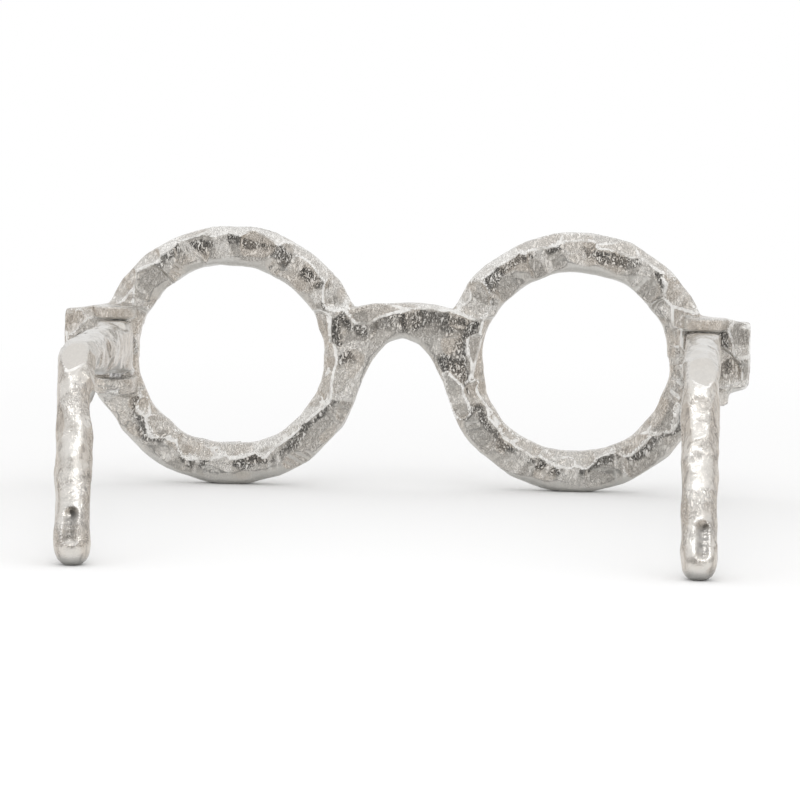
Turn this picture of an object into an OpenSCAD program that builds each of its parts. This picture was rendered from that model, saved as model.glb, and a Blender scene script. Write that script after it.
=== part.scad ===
// Tabletop sculpture of a pair of round eyeglasses with no lenses.
// One cast frame stands on its two rings, and two cast arms hang on upright hinge pins and stand on their hooks.
// X runs across the frame, Y from the arms to the front, Z up. The origin is on the table, under the middle.

/* [Lens rings] */
// Height of each lens opening
opening_h = 79; // [60:1:100]
// How many times wider than high each ring is
ring_oval = 1.03; // [1:0.01:1.06]
// Width of the ring's bar, from the opening to the outer edge
ring_w = 18.9; // [15:0.1:23]
// Depth of the ring's bar, front to back
ring_depth = 14.5; // [11:0.5:18]
// Gap between the two rings where they come closest
ring_gap = 33.2; // [26:0.2:46]
// Height ground off the bottom of each ring and hook, so that it stands
foot_cut = 0.6; // [0.4:0.1:1.2]

/* [Bridge] */
// Height of the bridge's bar at its middle
bridge_h = 17; // [12:0.5:22]
// Depth of the bridge's bar at its middle, front to back
bridge_depth = 12.5; // [9:0.5:16]
// Height of the bridge's middle line above the ring centres
bridge_rise = 17.2; // [10:0.2:24]

/* [Lugs] */
// How far the left lug stands out past its ring
left_lug_reach = 14; // [9:0.5:24]
// How far the right lug stands out past its ring
right_lug_reach = 16.7; // [9:0.1:24]
// Height of the lug's outer end
lug_h = 28.4; // [20:0.2:34]
// Depth of the lug's outer end, front to back
lug_depth = 12; // [9:0.5:15]
// Height of the middle of the lug's outer end above the ring centres
lug_rise = 5.2; // [0:0.2:9]

/* [Arms] */
// Width of the arm at its hinge
arm_w = 15.6; // [12:0.2:19]
// Height of the arm at its hinge
arm_h = 23; // [16:0.2:26]
// Distance from the hinge pin to the corner where the hook starts
arm_len = 198; // [150:1:240]
// Width of the arm at that corner
bend_w = 14.8; // [11:0.2:18]
// Height of the arm at that corner
bend_h = 15; // [12:0.2:18]
// Radius of the bend there, on the arm's middle line
bend_r = 20; // [16:1:26]
// How steeply the hook drops below level
hook_angle = 59; // [48:1:70]
// Width of the hook near its tip
tip_w = 13.2; // [10:0.2:15.6]
// Thickness of the hook near its tip
tip_h = 13.4; // [11:0.2:18]
// How far the arm climbs on its way back from the hinge, in degrees
arm_climb = 2.2; // [0:0.1:3]
// How far the left arm leans in from square to the frame as it stands, in degrees
left_lean = 4.3; // [0:0.1:8]
// How far the right arm leans in
right_lean = 5.5; // [0:0.1:8]
// How far the left hook veers to the middle on its way down
left_veer = 2.9; // [-4:0.1:4]
// How far the right hook veers to the middle
right_veer = -1.4; // [-4:0.1:4]

/* [Hinges] */
// Diameter of the hinge pin
pin_d = 5; // [4:0.5:6.5]
// Radial gap between the pin and the arm's bore
pin_gap = 0.05; // [0.02:0.01:0.1]
// Thickness of the upper hinge ear
ear_t = 5.6; // [4:0.2:7]
// Thickness of the lower hinge ear
low_ear_t = 7.4; // [4:0.2:9]
// How far an ear's root spreads onto the lug, past its round end
ear_spread = 5; // [0:0.5:8]
// Gap between the upper ear and the arm
ear_gap = 0.5; // [0.3:0.05:0.8]
// Gap between the arm and the lower ear
low_gap = 2.4; // [0.4:0.1:3]
// Gap between the ring's back and an arm that is folded flat
fold_gap = 1.2; // [0.8:0.1:2]
// How far the left pin stands outboard of the middle of its ring's bar
left_hinge_out = -0.7; // [-2:0.1:5]
// How far the right pin stands outboard of the middle of its ring's bar
right_hinge_out = 4.5; // [-2:0.1:5]
// Height of the arm's middle above the ring centres at its hinge
hinge_rise = 3.7; // [0:0.1:6]

/* [Hammered surface] */
// Depth of the hammer scoops
scoop_depth = 1.3; // [0:0.1:2]
// Length of a scoop along the bar
scoop_len = 14; // [9:0.5:22]

/* [Hidden] */

// Ring sizes that follow from the opening and the bar
ring_r = opening_h / 2 + ring_w / 2;
outer_r = opening_h / 2 + ring_w;
lens_x = outer_r * ring_oval + ring_gap / 2;
ring_z = outer_r - foot_cut;
ring_squareness = 2.5;

// How finely the cast surfaces are drawn: steps around a ring, around a bar, and across a joint
ring_n = 80;
bar_n = 16;
joint_half = 3;
bridge_loops = 4;
lug_loops = 3;

// Where the bridge and the lugs grow out of a ring, in steps up and down from its side
bridge_top_step = 5;
bridge_low_step = -5;
lug_top_step = 5;
lug_low_step = -7;

// How round the arch under the bridge is, how square bars end, and how square an arm is at its hinge and after it
arch_roundness = 0.86;
end_squareness = 5;
hinge_squareness = 10;
arm_squareness = 2.8;

// Scoops around a bar, how far their centres wander, and the square of the distance at which they end
scoop_rows = 6;
scoop_wander = 0.7;
scoop_reach = 0.55;

// Columns of scoops: around a ring, and along a bar that doesn't close on itself, where they are never used up
ring_columns = round(2 * PI * ring_r / scoop_len);
bar_columns = 1000;
first_column = 100;

// Where the chance numbers start for each ring, the bridge and each arm, and how many a column has to itself
ring_seeds = [500, 1500];
bridge_seed = 300;
arm_seeds = [4000, 7000];
column_seeds = 31;

// Where a ring's foot is, and the degrees about it and the length at a hook's tip in which the scoops fade out
foot_angle = 270;
foot_calm = 8;
tip_calm = 12;

// Hinge places that follow from the ring and the arm
hinge_out = [left_hinge_out, right_hinge_out];
lean = [left_lean, right_lean];
veer = [left_veer, right_veer];
lug_reach = [left_lug_reach, right_lug_reach];
hinge_back = ring_depth / 2 + fold_gap + arm_w / 2;
arm_z = ring_z + hinge_rise;
ear_rim = 0.5;
ear_r = arm_w / 2 + ear_rim;
ear_root = 5;
ear_arc_step = 12;
pin_facets = 48;
pin_len = ear_t + ear_gap + arm_h + low_gap + low_ear_t;
pin_drop = (low_gap + low_ear_t - ear_gap - ear_t) / 2;
bore_overrun = 1;

// The arm's middle line: a climbing straight, a bend, and the hook down to its foot
tip_r = tip_h / 2;
turn = hook_angle + arm_climb;
bend_cut = bend_r * tan(turn / 2);
straight_len = arm_len - bend_cut;
bend_len = bend_r * turn * PI / 180;
corner_z = arm_z + arm_len * sin(arm_climb);
hook_len = (corner_z - tip_r + foot_cut) / sin(hook_angle) + tip_r;
hook_straight = hook_len - bend_cut;
arm_total = straight_len + bend_len + hook_straight;
arm_step = 4.6;
knuckle_steps = 4;
thinnest = 0.1;

// The arm has no scoops along this length at its hinge, and its edges are rounded off past this share of it
plain_len = arm_w;
square_share = 0.8;

// The whole piece is centred on the origin, side to side and front to back
frame_x = (left_lug_reach - right_lug_reach) / 2;
arm_reach = arm_len * cos(arm_climb) + (hook_len - tip_r) * cos(hook_angle) + tip_r;
frame_y = (hinge_back + arm_reach - ring_depth / 2) / 2;
hinge_y = frame_y - hinge_back;

// A repeatable number from 0 to 1 for each whole number
function chance(k) = let (s = sin(k * 78.233) * 43758.5453) s - floor(s);

function mix(a, b, t) = a + (b - a) * t;

// The left piece's value for side -1, the right piece's for side 1
function of_side(pair, side) = pair[side < 0 ? 0 : 1];

// Distances from the middle of the bridge to a lug's outer end and to a hinge pin
function lug_end(side) = lens_x + outer_r * ring_oval + of_side(lug_reach, side);
function hinge_x(side) = lens_x + ring_r * ring_oval + of_side(hinge_out, side);

// Unit outline of a bar at angle b: round at squareness 2, nearly a rectangle at 8
function outline(b, squareness) =
  let (c = cos(b), s = sin(b))
  pow(pow(abs(c), squareness) + pow(abs(s), squareness), -1 / squareness) * [c, s];

// Depth of the hammered surface at s scoops along a bar and t scoops around it.
// Every scoop is a shallow bowl, and neighbours meet in a sharp ridge.
function scoop(seed, s, t, cols) =
  let (
    near = [
      for (k = [floor(s) - 1:floor(s) + 1])
        for (q = [floor(t) - 1:floor(t) + 1])
          let (
            id = seed + column_seeds * ((k + cols) % cols) + (q + scoop_rows) % scoop_rows,
            along = k + 0.5 + scoop_wander * (chance(id) - 0.5),
            round = q + 0.5 + scoop_wander * (chance(id + 0.5) - 0.5)
          )
          pow(s - along, 2) + pow(t - round, 2)
    ]
  )
  scoop_depth * max(0, 1 - min(near) / scoop_reach);

// The same at a place along a bar, t scoops around it
function bar_scoop(seed, place, t) = scoop(seed, first_column + place / scoop_len, t, bar_columns);

// Point of a ring's surface: step i around the ring, step j around its bar
function ring_point(side, i, j) =
  let (
    a = 360 * i / ring_n,
    e = outline(360 * j / bar_n, ring_squareness),
    calm = min(1, max(0, abs(a - foot_angle) / foot_calm - 1)),
    seed = of_side(ring_seeds, side),
    d = calm * scoop(seed, ring_columns * i / ring_n, scoop_rows * j / bar_n, ring_columns),
    out = ring_r + (ring_w / 2 - d) * e[0]
  )
  [
    frame_x + side * lens_x + out * ring_oval * cos(a),
    frame_y + (ring_depth / 2 - d) * e[1],
    max(0, ring_z + out * sin(a))
  ];

// The same surface before it is hammered, at step c up from the side that faces in or out, for x over 0
function smooth_point(facing, c, j) =
  let (
    a = 360 * c / ring_n,
    e = outline(360 * j / bar_n, ring_squareness),
    out = ring_r + ring_w / 2 * e[0]
  )
  [lens_x + facing * out * ring_oval * cos(a), ring_depth / 2 * e[1], ring_z + out * sin(a)];

// Steps round the edge of the patch of ring surface that a bridge or a lug grows out of
function patch_edge(low, top) = concat(
  [for (c = [low:top - 1]) [c, -joint_half]],
  [for (j = [-joint_half:joint_half - 1]) [top, j]],
  [for (c = [top:-1:low + 1]) [c, joint_half]],
  [for (j = [joint_half:-1:-joint_half + 1]) [low, j]]
);

// The patch edge's steps as places on a square from -1 to 1, drawn in to a rounded bar
function bar_place(step, low, top) =
  let (
    up = 2 * (step[0] - low) / (top - low) - 1,
    front = step[1] / joint_half
  )
  [front, up] / pow(pow(abs(front), end_squareness) + pow(abs(up), end_squareness), 1 / end_squareness);

bridge_edge = patch_edge(bridge_low_step, bridge_top_step);
lug_edge = patch_edge(lug_low_step, lug_top_step);

// Loop m of the bridge, from the left ring to the right: its underside is the arch over the nose
function bridge_point(m, step) =
  let (
    side = m > bridge_loops ? 1 : -1,
    t = (m > bridge_loops ? 2 * bridge_loops - m : m) / bridge_loops,
    root = smooth_point(-1, step[0], step[1]),
    place = bar_place(step, bridge_low_step, bridge_top_step),
    spread = arch_roundness * cos(90 * t) + (1 - arch_roundness) * pow(1 - t, 3),
    rise = sin(90 * t),
    x = side * root[0] * spread,
    around = scoop_rows * (atan2(place[1], place[0]) / 360 + 0.5),
    d = bar_scoop(bridge_seed, x, around)
  )
  [
    frame_x + x,
    frame_y + mix(root[1], (bridge_depth / 2 - d) * place[0], rise),
    mix(root[2], ring_z + bridge_rise + (bridge_h / 2 - d) * place[1], rise)
  ];

// Loop m of a lug, from its ring to its flat outer end
function lug_point(side, m, step) =
  let (
    t = m / lug_loops,
    root = smooth_point(1, step[0], step[1]),
    place = bar_place(step, lug_low_step, lug_top_step),
    draw = sin(90 * t)
  )
  [
    frame_x + side * mix(root[0], lug_end(side), t),
    frame_y + mix(root[1], lug_depth / 2 * place[0], draw),
    mix(root[2], ring_z + lug_rise + lug_h / 2 * place[1], draw)
  ];

// Numbers of the points: the left ring, the right ring, the bridge, the left lug, the right lug
ring_size = ring_n * bar_n;
bridge_start = 2 * ring_size;
bridge_size = (2 * bridge_loops - 1) * len(bridge_edge);
lug_start = bridge_start + bridge_size;
lug_size = lug_loops * len(lug_edge) + 1;
function ring_id(ring, i, j) = ring * ring_size + ((i + ring_n) % ring_n) * bar_n + (j + bar_n) % bar_n;
function bridge_loop(m) =
  m == 0 ? [for (p = bridge_edge) ring_id(0, p[0], p[1])]
  : m == 2 * bridge_loops ? [for (p = bridge_edge) ring_id(1, ring_n / 2 - p[0], p[1])]
  : [for (k = [0:len(bridge_edge) - 1]) bridge_start + (m - 1) * len(bridge_edge) + k];
function lug_loop(ring, m) =
  m == 0 ? [for (p = lug_edge) ring_id(ring, ring == 0 ? ring_n / 2 - p[0] : p[0], p[1])]
  : [for (k = [0:len(lug_edge) - 1]) lug_start + ring * lug_size + (m - 1) * len(lug_edge) + k];
function lug_centre(ring) = lug_start + (ring + 1) * lug_size - 1;

// Two triangles for each step between one loop of points and the next
function strip(a, b) = [
  for (k = [0:len(a) - 1])
    let (n = (k + 1) % len(a))
    each [[a[k], a[n], b[n]], [a[k], b[n], b[k]]]
];
function fan(loop, centre) = [for (k = [0:len(loop) - 1]) [loop[k], loop[(k + 1) % len(loop)], centre]];
function turned(faces) = [for (f = faces) [f[0], f[2], f[1]]];

// Does the cell that starts at step c, j lie inside a patch that something grows out of?
function in_patch(c, j, low, top) = c >= low && c < top && (j < joint_half || j >= bar_n - joint_half);

// Steps up from the side of a ring that faces out, or in, for the cell that starts at step i around it
function steps_up(i, at_right) =
  let (c = at_right ? i : ring_n / 2 - 1 - i)
  c >= ring_n / 2 ? c - ring_n : c;

module frame_casting() {
  points = concat(
    [for (side = [-1, 1]) for (i = [0:ring_n - 1]) for (j = [0:bar_n - 1]) ring_point(side, i, j)],
    [for (m = [1:2 * bridge_loops - 1]) for (step = bridge_edge) bridge_point(m, step)],
    [
      for (side = [-1, 1])
        each concat(
          [for (m = [1:lug_loops]) for (step = lug_edge) lug_point(side, m, step)],
          [[frame_x + side * lug_end(side), frame_y, ring_z + lug_rise]]
        )
    ]
  );
  ring_faces = [
    for (ring = [0, 1])
      for (i = [0:ring_n - 1])
        for (j = [0:bar_n - 1])
          let (
            in_bridge = in_patch(steps_up(i, ring == 0), j, bridge_low_step, bridge_top_step),
            in_lug = in_patch(steps_up(i, ring == 1), j, lug_low_step, lug_top_step)
          )
          if (!in_bridge && !in_lug)
            each turned(
              [
                [ring_id(ring, i, j), ring_id(ring, i, j + 1), ring_id(ring, i + 1, j + 1)],
                [ring_id(ring, i, j), ring_id(ring, i + 1, j + 1), ring_id(ring, i + 1, j)]
              ]
            )
  ];
  bridge_faces = [for (m = [0:2 * bridge_loops - 1]) each strip(bridge_loop(m), bridge_loop(m + 1))];
  left_lug_faces = turned(
    concat(
      [for (m = [0:lug_loops - 1]) each strip(lug_loop(0, m), lug_loop(0, m + 1))],
      fan(lug_loop(0, lug_loops), lug_centre(0))
    )
  );
  right_lug_faces = concat(
    [for (m = [0:lug_loops - 1]) each strip(lug_loop(1, m), lug_loop(1, m + 1))],
    fan(lug_loop(1, lug_loops), lug_centre(1))
  );
  polyhedron(points, concat(ring_faces, bridge_faces, left_lug_faces, right_lug_faces));
}

// One hinge ear, with its round end about the pin and its root inside the ring and the lug
module ear(side, thickness) {
  root = hinge_back - ring_depth / 2 + ear_root;
  end_arc = [for (a = [180:ear_arc_step:360]) ear_r * [side * cos(a), sin(a)]];
  linear_extrude(thickness) polygon(concat(end_arc, [[side * (ear_r + ear_spread), root], [-side * ear_r, root]]));
}

module at_hinge(side) {
  translate([frame_x + side * hinge_x(side), hinge_y, arm_z]) children();
}

module at_pin(side) {
  at_hinge(side) translate([0, 0, -pin_drop]) children();
}

module front_frame() {
  color("silver") difference() {
    union() {
      frame_casting();
      for (side = [-1, 1]) {
        at_hinge(side) translate([0, 0, arm_h / 2 + ear_gap]) ear(side, ear_t);
        at_hinge(side) translate([0, 0, -arm_h / 2 - low_gap - low_ear_t]) ear(side, low_ear_t);
      }
    }
    for (side = [-1, 1]) {
      at_pin(side) cylinder(d = pin_d, h = pin_len + 2 * bore_overrun, center = true, $fn = pin_facets);
    }
  }
}

// Middle line of the arm at distance s behind the pin: place back, place up, and slope below level
function arm_line(s) =
  s < straight_len ? [s * cos(arm_climb), s * sin(arm_climb), -arm_climb]
  : s < straight_len + bend_len ?
    let (
      a = (s - straight_len) / bend_r * 180 / PI,
      back = bend_r * sin(a),
      down = bend_r * (1 - cos(a))
    )
    [
      straight_len * cos(arm_climb) + back * cos(arm_climb) + down * sin(arm_climb),
      straight_len * sin(arm_climb) + back * sin(arm_climb) - down * cos(arm_climb),
      a - arm_climb
    ]
  : let (h = s - straight_len - bend_len + bend_cut)
    [
      arm_len * cos(arm_climb) + h * cos(hook_angle),
      arm_len * sin(arm_climb) - h * sin(hook_angle),
      hook_angle
    ];

// How full the arm is at distance s: both ends are rounded
function arm_fill(s) =
  s < 0 ? sqrt(max(0, 1 - pow(2 * s / arm_w, 2)))
  : s > arm_total - tip_r ? sqrt(max(0, 1 - pow((s - arm_total + tip_r) / tip_r, 2)))
  : 1;

// Point of an arm's surface at distance s, step j around it. Its hook ends a distance off to the right.
function arm_point(seed, off, s, j) =
  let (
    line = arm_line(s),
    b = 360 * j / bar_n,
    near = min(1, max(0, s) / straight_len),
    far = max(0, s - straight_len) / (arm_total - straight_len),
    hammered = min(1, max(0, (s - plain_len) / scoop_len), (arm_total - s) / tip_calm),
    eased = min(1, max(0, s / plain_len - square_share)),
    e = outline(b, mix(hinge_squareness, arm_squareness, eased)),
    d = hammered * bar_scoop(seed, s, scoop_rows * j / bar_n),
    w = mix(mix(arm_w, bend_w, near), tip_w, far) * arm_fill(s) / 2,
    h = mix(mix(arm_h, bend_h, near), tip_h, far) * (s < 0 ? 1 : arm_fill(s)) / 2,
    up = max(thinnest, h - d) * e[1]
  )
  [
    max(thinnest, w - d) * e[0] + off * far,
    -line[0] + up * -sin(line[2]),
    max(-arm_z, line[1] + up * cos(line[2]))
  ];

module arm_casting(seed, off) {
  knuckle = [for (k = [1:knuckle_steps]) -arm_w / 2 * cos(90 * k / (knuckle_steps + 1))];
  steps = round((arm_total - tip_r) / arm_step);
  body = [for (k = [0:steps]) (arm_total - tip_r) * k / steps];
  tip = [for (k = [1:knuckle_steps]) arm_total - tip_r + tip_r * sin(90 * k / (knuckle_steps + 1))];
  places = concat(knuckle, body, tip);
  last = len(places) - 1;
  knuckle_end = [0, arm_w / 2 * cos(arm_climb), 0];
  tip_end = [off, -arm_line(arm_total)[0], max(-arm_z, arm_line(arm_total)[1])];
  points = concat([for (s = places) for (j = [0:bar_n - 1]) arm_point(seed, off, s, j)], [knuckle_end, tip_end]);
  loops = [for (i = [0:last]) [for (j = [0:bar_n - 1]) i * bar_n + j]];
  faces = concat(
    [for (i = [0:last - 1]) each turned(strip(loops[i + 1], loops[i]))],
    turned(fan(loops[0], len(points) - 2)),
    fan(loops[last], len(points) - 1)
  );
  polyhedron(points, faces);
}

module arm(side) {
  color("silver") difference() {
    at_hinge(side)
      rotate([0, 0, -side * of_side(lean, side)])
        arm_casting(of_side(arm_seeds, side), -side * of_side(veer, side));
    at_hinge(side) cylinder(d = pin_d + 2 * pin_gap, h = 2 * arm_h, center = true, $fn = pin_facets);
  }
}

module left_arm() {
  arm(-1);
}

module right_arm() {
  arm(1);
}

module hinge_pin(side) {
  color("lightgray") at_pin(side) cylinder(d = pin_d, h = pin_len, center = true, $fn = pin_facets);
}

module left_hinge_pin() {
  hinge_pin(-1);
}

module right_hinge_pin() {
  hinge_pin(1);
}

front_frame();
left_arm();
right_arm();
left_hinge_pin();
right_hinge_pin();
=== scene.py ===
import math

import bpy
import numpy as np
from bpy.props import FloatProperty, FloatVectorProperty, IntProperty, PointerProperty
from mathutils import Matrix, Vector


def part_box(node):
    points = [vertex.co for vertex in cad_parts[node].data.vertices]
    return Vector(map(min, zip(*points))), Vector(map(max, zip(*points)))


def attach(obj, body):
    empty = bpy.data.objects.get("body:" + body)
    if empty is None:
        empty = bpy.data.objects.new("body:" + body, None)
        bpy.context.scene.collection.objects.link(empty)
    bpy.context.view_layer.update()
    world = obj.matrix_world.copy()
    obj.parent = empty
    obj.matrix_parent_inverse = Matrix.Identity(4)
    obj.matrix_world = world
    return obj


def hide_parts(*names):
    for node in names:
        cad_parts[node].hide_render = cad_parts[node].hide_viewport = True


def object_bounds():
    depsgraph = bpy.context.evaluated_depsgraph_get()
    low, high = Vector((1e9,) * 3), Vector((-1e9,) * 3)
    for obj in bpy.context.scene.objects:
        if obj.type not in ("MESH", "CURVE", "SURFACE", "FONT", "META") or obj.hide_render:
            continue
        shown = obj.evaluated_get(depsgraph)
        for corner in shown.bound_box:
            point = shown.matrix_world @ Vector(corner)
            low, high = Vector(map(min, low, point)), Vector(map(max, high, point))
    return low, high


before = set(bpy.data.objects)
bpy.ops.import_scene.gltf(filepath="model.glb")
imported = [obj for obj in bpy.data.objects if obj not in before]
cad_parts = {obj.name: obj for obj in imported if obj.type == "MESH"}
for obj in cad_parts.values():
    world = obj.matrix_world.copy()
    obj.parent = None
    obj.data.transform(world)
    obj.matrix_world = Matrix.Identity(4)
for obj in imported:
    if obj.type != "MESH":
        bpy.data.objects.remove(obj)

bl_info = {
    "name": "Eyeglasses sculpture",
    "version": (1, 0, 0),
    "blender": (4, 5, 0),
    "location": "3D View > Sidebar > Sculpture",
    "description": "Hammered cast eyeglasses with hinged arms, on a plain pale floor",
    "category": "Object",
}

MM = 0.001
CHUNK = 4000
MOST_TRIANGLES = 195000
CAD_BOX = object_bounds()
FRAME_SEED = 29
ARM_SEEDS = (("left_arm", 23), ("right_arm", 37))

# The middles of the lens rings, where the lugs begin outside them, and the right lug's end.
LENS_X = 0.0776
LENS_Z = 0.0578
LEFT_LUG = LENS_X + 44 * MM
RIGHT_LUG = LENS_X + 48 * MM
RIGHT_RIM = LENS_X + 70 * MM

# Hollows: full and farthest reach, how far they are lifted off beyond it, and the deepest cut.
HOLLOW_FULL = 13 * MM
HOLLOW_REACH = 19 * MM
HOLLOW_LIFT = 8 * MM
DEEPEST_CUT = 2.2 * MM

# Ridges: half the width of the painted highlight line, where it has faded out, and the least slope
# counted.
RIDGE_LINE = 0.22 * MM
RIDGE_FADE = 0.8 * MM
LEAST_SLOPE = 0.12

# The hinge: half its width, its depth in front of the pin, and the room kept round the pin.
HINGE_SIDE = 9.5 * MM
HINGE_FRONT = 9.2 * MM
PIN_ROOM = 4 * MM

# The flat ground across an arm's bend: its slope, its depth and its radius.
BEND_SLOPE = math.radians(35)
BEND_DEPTH = 1.3 * MM
BEND_BOWL = 400 * MM

# Hooks lie behind this line. The trough is a row of hollows at these heights, that look one way.
HOOK_Y = -0.11
TROUGH = (0.0095, 0.0115, 0.0135, 0.0155, 0.0175)
TROUGH_AIM = (0, -0.84, 0.54)
TROUGH_DEPTH = 1.4 * MM
TROUGH_BOWL = 4.5 * MM

# The crest line over the bridge's left half, along which a painted highlight line runs with a
# painted shade strip under it.
CREST_X = (-0.022, -0.017, -0.012, -0.0046, -0.0018)
CREST_Z = (0.0733, 0.0730, 0.0763, 0.0786, 0.0794)

# Painted light bands: how many there are in a turn and how strong, and what the bridge has for a
# turn.
BANDS = ((38, 1.0), (96, 0.45))
BRIDGE_TURN = 0.31

# How far the floor lies under the feet, how dark the darkening in the hooks' troughs is, and how
# dark the pins' marks are.
FLOOR_DROP = 0.02 * MM
TROUGH_DARKNESS = 0.26
PIN_SHADE = 0.6

# What the metal mirrors: the room above, ahead and behind the camera, and the bright strip.
ROOM_ABOVE = (0.95, 0.94, 0.93)
ROOM_AHEAD = (0.93, 0.93, 0.93)
ROOM_BEHIND = (0.26, 0.25, 0.24)
ROOM_STRIP = (1.3, 1.28, 1.25)

# The even light and the background.
WHITE = (1.0, 1.0, 1.0)

MASKS = (
    "ridge", "rough", "hollow", "dull", "side", "tone", "face", "up", "teeth", "stain", "shore",
)


class CastingSettings(bpy.types.PropertyGroup):
    """Sizes of the hammered surface."""

    grid: FloatProperty(
        name="Grid", description="Size of the squares that a casting is drawn with",
        default=0.72 * MM, min=0.4 * MM, max=2 * MM, unit="LENGTH", precision=5,
    )
    smoothing: IntProperty(
        name="Smoothing",
        description="Steps that round off the flat facets of the construction model",
        default=26, min=0, max=80,
    )
    facet_spacing: FloatProperty(
        name="Facet spacing", description="Smallest distance between two hammer facets",
        default=6.4 * MM, min=3 * MM, max=15 * MM, unit="LENGTH", precision=5,
    )
    facet_depth: FloatProperty(
        name="Facet depth", description="Depth of the deepest hammer facets",
        default=1.2 * MM, min=0.2 * MM, max=2.5 * MM, unit="LENGTH", precision=5,
    )
    bowl_radius: FloatProperty(
        name="Bowl radius", description="Radius of the hollow that a hammer facet has",
        default=30 * MM, min=8 * MM, max=200 * MM, unit="LENGTH", precision=5,
    )
    ripple: FloatProperty(
        name="Ripple", description="Depth of the fine waves in the cast skin",
        default=0.16 * MM, min=0, max=0.6 * MM, unit="LENGTH", precision=6,
    )


class FinishSettings(bpy.types.PropertyGroup):
    """Colours and grain of the metal."""

    # The metal's own base colour. Upper faces are mixed further towards the painted highlight
    # colour.
    polished: FloatVectorProperty(
        name="Polished", description="Colour of the metal where it faces up and on its ridges",
        default=(0.885, 0.852, 0.803), size=3, subtype="COLOR", min=0, max=1,
    )
    warm: FloatVectorProperty(
        name="Warm", description="Colour of the facets that are slightly tan",
        default=(0.785, 0.715, 0.635), size=3, subtype="COLOR", min=0, max=1,
    )
    # Front and back faces: partly their own cast colour and partly painted shade.
    as_cast_and_shaded: FloatVectorProperty(
        name="As cast", description="Colour of the rough faces that were left as cast",
        default=(0.555, 0.53, 0.492), size=3, subtype="COLOR", min=0, max=1,
    )
    # The painted highlight colour: white on crests, rims and flecks, and the painted light on upper
    # faces.
    ridges: FloatVectorProperty(
        name="Ridges", description="Colour of the bare metal on ridges and rims",
        default=(0.97, 0.955, 0.925), size=3, subtype="COLOR", min=0, max=1,
    )
    # Painted shade: the darker colour of faces that look down.
    underside_shade: FloatVectorProperty(
        name="Underside", description="Colour of the dull faces that look down",
        default=(0.565, 0.557, 0.533), size=3, subtype="COLOR", min=0, max=1,
    )
    pits: FloatVectorProperty(
        name="Pits", description="Colour at the bottom of the sand-cast grain",
        default=(0.31, 0.3, 0.283), size=3, subtype="COLOR", min=0, max=1,
    )
    pin_steel: FloatVectorProperty(
        name="Pin steel", description="Colour of the hinge pins",
        default=(0.62, 0.61, 0.60), size=3, subtype="COLOR", min=0, max=1,
    )
    grain: FloatProperty(
        name="Grain", description="Length of the waves in the sand-cast grain",
        default=1.8 * MM, min=0.4 * MM, max=5 * MM, unit="LENGTH", precision=5,
    )
    grain_depth: FloatProperty(
        name="Grain depth", description="Depth of the sand-cast grain",
        default=0.45 * MM, min=0, max=1 * MM, unit="LENGTH", precision=5,
    )


class StageSettings(bpy.types.PropertyGroup):
    """Floor, light and camera."""

    floor_size: FloatProperty(
        name="Floor size", description="Length of the floor's sides",
        default=60, min=1, max=200, unit="LENGTH",
    )
    floor_colour: FloatVectorProperty(
        name="Floor", description="Colour of the floor",
        default=(0.97, 0.97, 0.97), size=3, subtype="COLOR", min=0, max=1,
    )
    key_strength: FloatProperty(
        name="Key light", description="Power of the soft light above the camera, in watts",
        default=2.6, min=0, max=20,
    )
    key_place: FloatVectorProperty(
        name="Key place", description="Place of the key light",
        default=(0, -0.66, 0.86), size=3, subtype="TRANSLATION", unit="LENGTH",
    )
    key_turn: FloatProperty(
        name="Key turn", description="Angle of the key light from straight down, to the camera",
        default=math.radians(40), subtype="ANGLE", unit="ROTATION",
    )
    key_size: FloatProperty(
        name="Key size", description="Length of the key light's sides",
        default=0.35, min=0.01, max=3, unit="LENGTH",
    )
    sky_strength: FloatProperty(
        name="Sky", description="Strength of the even light from all round",
        default=1.0, min=0, max=3,
    )
    camera_place: FloatVectorProperty(
        name="Camera", description="Place of the camera",
        default=(0.03065, -0.9615, 0.1284), size=3, subtype="TRANSLATION", unit="LENGTH",
    )
    camera_pan: FloatProperty(
        name="Pan", description="Angle of the camera to the right of straight ahead",
        default=math.radians(-1.738), subtype="ANGLE", unit="ROTATION",
    )
    camera_tilt: FloatProperty(
        name="Tilt", description="Angle of the camera below level",
        default=math.radians(4.692), subtype="ANGLE", unit="ROTATION",
    )
    camera_roll: FloatProperty(
        name="Roll",
        description="Angle by which the camera is turned about its own line of sight",
        default=math.radians(1.136), subtype="ANGLE", unit="ROTATION",
    )
    lens: FloatProperty(
        name="Lens", description="Focal length in millimetres on a sensor 36 mm wide",
        default=110.0, min=20, max=300,
    )


def select_only(piece):
    """Makes one object the only selected one, and the active one."""
    bpy.ops.object.select_all(action="DESELECT")
    piece.select_set(True)
    bpy.context.view_layer.objects.active = piece


def apply_modifier(piece, label, kind, **values):
    """Adds a modifier, sets its values and applies it."""
    modifier = piece.modifiers.new(label, kind)
    for key, value in values.items():
        setattr(modifier, key, value)
    select_only(piece)
    bpy.ops.object.modifier_apply(modifier=modifier.name)


def gridded_copy(node, name):
    """A new object with a copy of a CAD node's mesh, joined and drawn again on an even grid."""
    piece = bpy.data.objects.new(name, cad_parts[node].data.copy())
    bpy.context.scene.collection.objects.link(piece)
    piece.data.name = name
    piece.data.materials.clear()
    select_only(piece)
    bpy.ops.object.mode_set(mode="EDIT")
    bpy.ops.mesh.select_all(action="SELECT")
    bpy.ops.mesh.remove_doubles(threshold=0.01 * MM)
    bpy.ops.object.mode_set(mode="OBJECT")
    grid = bpy.context.scene.casting_settings.grid
    apply_modifier(piece, "Even grid", "REMESH", mode="VOXEL", voxel_size=grid)
    return piece


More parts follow.
